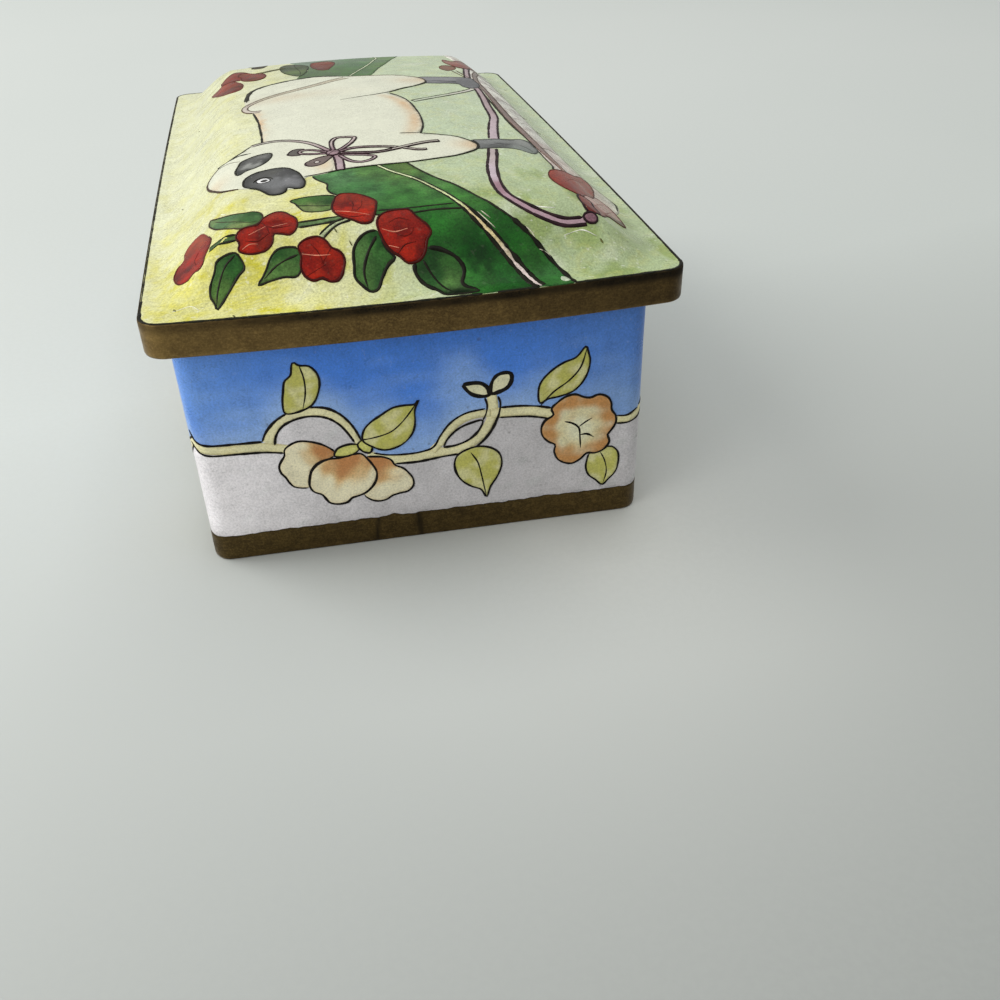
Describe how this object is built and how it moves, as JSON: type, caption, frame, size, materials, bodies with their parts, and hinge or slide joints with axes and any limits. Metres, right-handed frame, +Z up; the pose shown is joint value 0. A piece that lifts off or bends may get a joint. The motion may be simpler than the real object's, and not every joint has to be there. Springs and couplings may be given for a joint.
{
  "type": "enamelled lidded box",
  "caption": "Rectangular hollow box of brass sheet with fused enamel walls, a brass foot strip and a loose, domed lift-off lid in an overhanging brass edge.",
  "frame": {"origin": "on the table under the middle of the lid, which is the middle of the whole box's outline", "axes": "+Z up, +Y along the long side, +X along the short side; the pictured end of the box faces -Y; the loose lid lies turned 1.5 degrees about +Z, and the box stands 0.8 mm to +X and 0.45 mm to +Y of its middle"},
  "size_m": [0.0834, 0.1396, 0.0561],
  "materials": {
    "box_shell": "dull, aged",
    "body_enamel": "glossy fused enamel",
    "foot_band": "dull, dark patina",
    "lid_shell": "brushed, aged",
    "lid_enamel": "glossy fused enamel"
  },
  "bodies": {
    "root": {"box_shell": "box_shell", "body_enamel": "body_enamel", "foot_band": "foot_band", "lid_shell": "lid_shell", "lid_enamel": "lid_enamel"}
  },
  "joints": []
}
